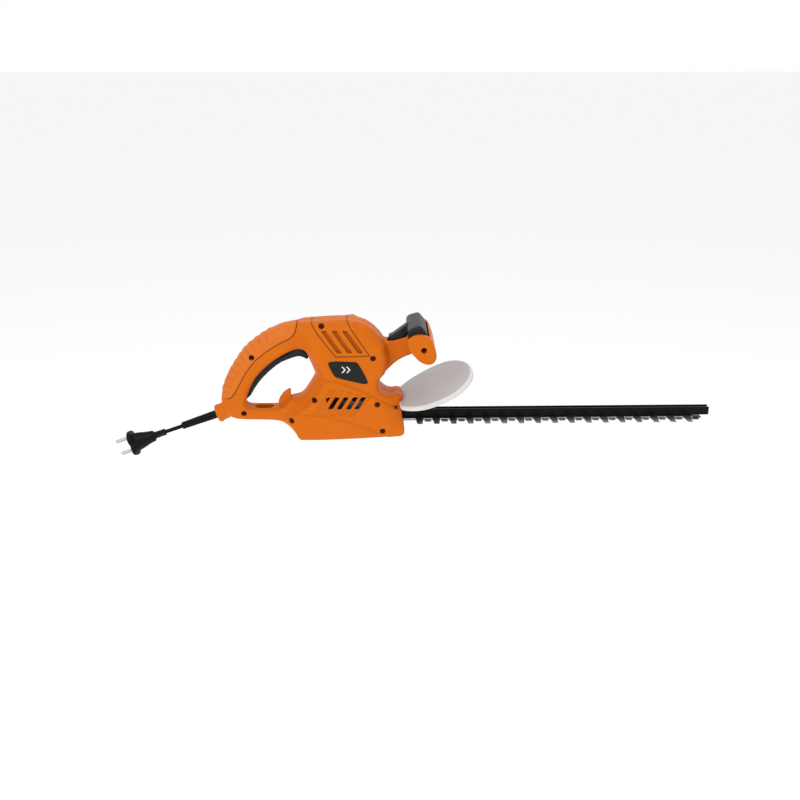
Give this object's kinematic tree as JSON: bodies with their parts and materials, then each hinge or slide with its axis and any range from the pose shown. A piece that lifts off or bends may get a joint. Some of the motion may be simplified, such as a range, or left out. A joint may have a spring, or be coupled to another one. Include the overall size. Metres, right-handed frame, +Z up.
{
  "type": "hedge trimmer",
  "caption": "Corded hedge trimmer with a looped rear handle, front cross handle, hand guard and a double-sided reciprocating blade.",
  "frame": {"origin": "on the mid-plane, under the guide rail, where the rail and the blades leave the housing's nose", "axes": "+X along the blades to their tip, +Y to the operator's left, +Z up"},
  "size_m": [0.8523, 0.1652, 0.205],
  "materials": {
    "orange_plastic": "satin moulded ABS",
    "orange_grip": "soft-touch overmould",
    "badge_black": "smooth",
    "black_plastic": "fine texture",
    "guard_plastic": "frosted",
    "rail_black": "gloss black",
    "blade_steel": "ground",
    "dark_screws": "blackened",
    "fixings_steel": "zinc plated",
    "gearbox_alloy": "die cast",
    "plate_steel": "pressed",
    "gear_steel": "hardened",
    "bronze": "sintered",
    "motor_iron": "laminated",
    "copper": "enamelled wire",
    "carbon": "pressed",
    "inner_plastic": "glass filled",
    "spring_steel": "drawn",
    "wire_pvc": "smooth",
    "cord_rubber": "matt",
    "plug_rubber": "matt",
    "nickel_pins": "nickel plated"
  },
  "bodies": {
    "housing": {"bearing_bracket": "inner_plastic", "blade_bolts": "fixings_steel", "blade_nuts": "fixings_steel", "blade_rail": "rail_black", "blade_spacers": "fixings_steel", "brush_holders": "bronze", "carbon_brushes": "carbon", "clamp_screws": "fixings_steel", "cord": "cord_rubber", "cord_clamp": "inner_plastic", "cord_sleeve": "cord_rubber", "fan_baffle": "inner_plastic", "field_coils": "copper", "front_switch": "inner_plastic", "gearbox_base": "plate_steel", "gearbox_columns": "plate_steel", "gearbox_cover": "gearbox_alloy", "gearbox_plate": "gearbox_alloy", "gearbox_screws": "fixings_steel", "guard_screws": "dark_screws", "hand_guard": "guard_plastic", "housing_screws": "dark_screws", "internal_wires": "wire_pvc", "left_badge": "badge_black", "left_grip_pad": "orange_grip", "left_housing": "orange_plastic", "lever_pin": "fixings_steel", "lever_spring": "spring_steel", "lower_bearing": "gear_steel", "plug_body": "plug_rubber", "plug_pins": "nickel_pins", "rail_screw": "fixings_steel", "rail_spacer": "plate_steel", "rear_switch": "inner_plastic", "right_badge": "badge_black", "right_grip_pad": "orange_grip", "right_housing": "orange_plastic", "shaft_bushes": "bronze", "stator_core": "motor_iron", "suppression_capacitor": "badge_black", "terminal_block": "inner_plastic", "trigger_pin": "fixings_steel", "trigger_spring": "spring_steel", "upper_bearing": "gear_steel"},
    "trigger": {"rear_trigger": "black_plastic"},
    "lever": {"front_lever": "black_plastic"},
    "armature": {"armature_shaft": "gear_steel", "armature_core": "motor_iron", "armature_windings": "copper", "commutator": "copper", "cooling_fan": "inner_plastic", "pinion": "gear_steel"},
    "gear_train": {"drive_gear": "gear_steel", "gear_shaft": "gear_steel", "cam_discs": "gear_steel"},
    "upper_blade": {"upper_blade": "blade_steel"},
    "lower_blade": {"lower_blade": "blade_steel"}
  },
  "joints": [
    {"name": "trigger_pivot", "type": "hinge", "parent": "housing", "child": "trigger", "pos_m": [-0.2215, 0, 0.0345], "axis": [0, -1, 0], "range_deg": [0, 4], "stiffness_Nm_per_rad": 1, "springref_deg": -6.88, "deforming": ["trigger_spring"]},
    {"name": "lever_pivot", "type": "hinge", "parent": "housing", "child": "lever", "pos_m": [-0.008, 0, 0.11], "axis": [0, 1, 0], "range_deg": [0, 3], "stiffness_Nm_per_rad": 1, "springref_deg": -6.88, "deforming": ["lever_spring"]},
    {"name": "gear_spin", "type": "hinge", "parent": "housing", "child": "gear_train", "pos_m": [-0.04505, 0, 0], "axis": [0, 0, 1], "continuous": true},
    {"name": "armature_spin", "type": "hinge", "parent": "housing", "child": "armature", "pos_m": [-0.074, 0, 0], "axis": [0, 0, 1], "continuous": true},
    {"name": "upper_blade_slide", "type": "slide", "parent": "housing", "child": "upper_blade", "axis": [1, 0, 0], "range_m": [-0.006, 0.006]},
    {"name": "lower_blade_slide", "type": "slide", "parent": "housing", "child": "lower_blade", "axis": [1, 0, 0], "range_m": [-0.006, 0.006]}
  ],
  "couplings": [
    {"joint": "armature_spin", "follows": "gear_spin", "ratio": -5},
    {"joint": "lower_blade_slide", "follows": "upper_blade_slide", "ratio": -1}
  ]
}
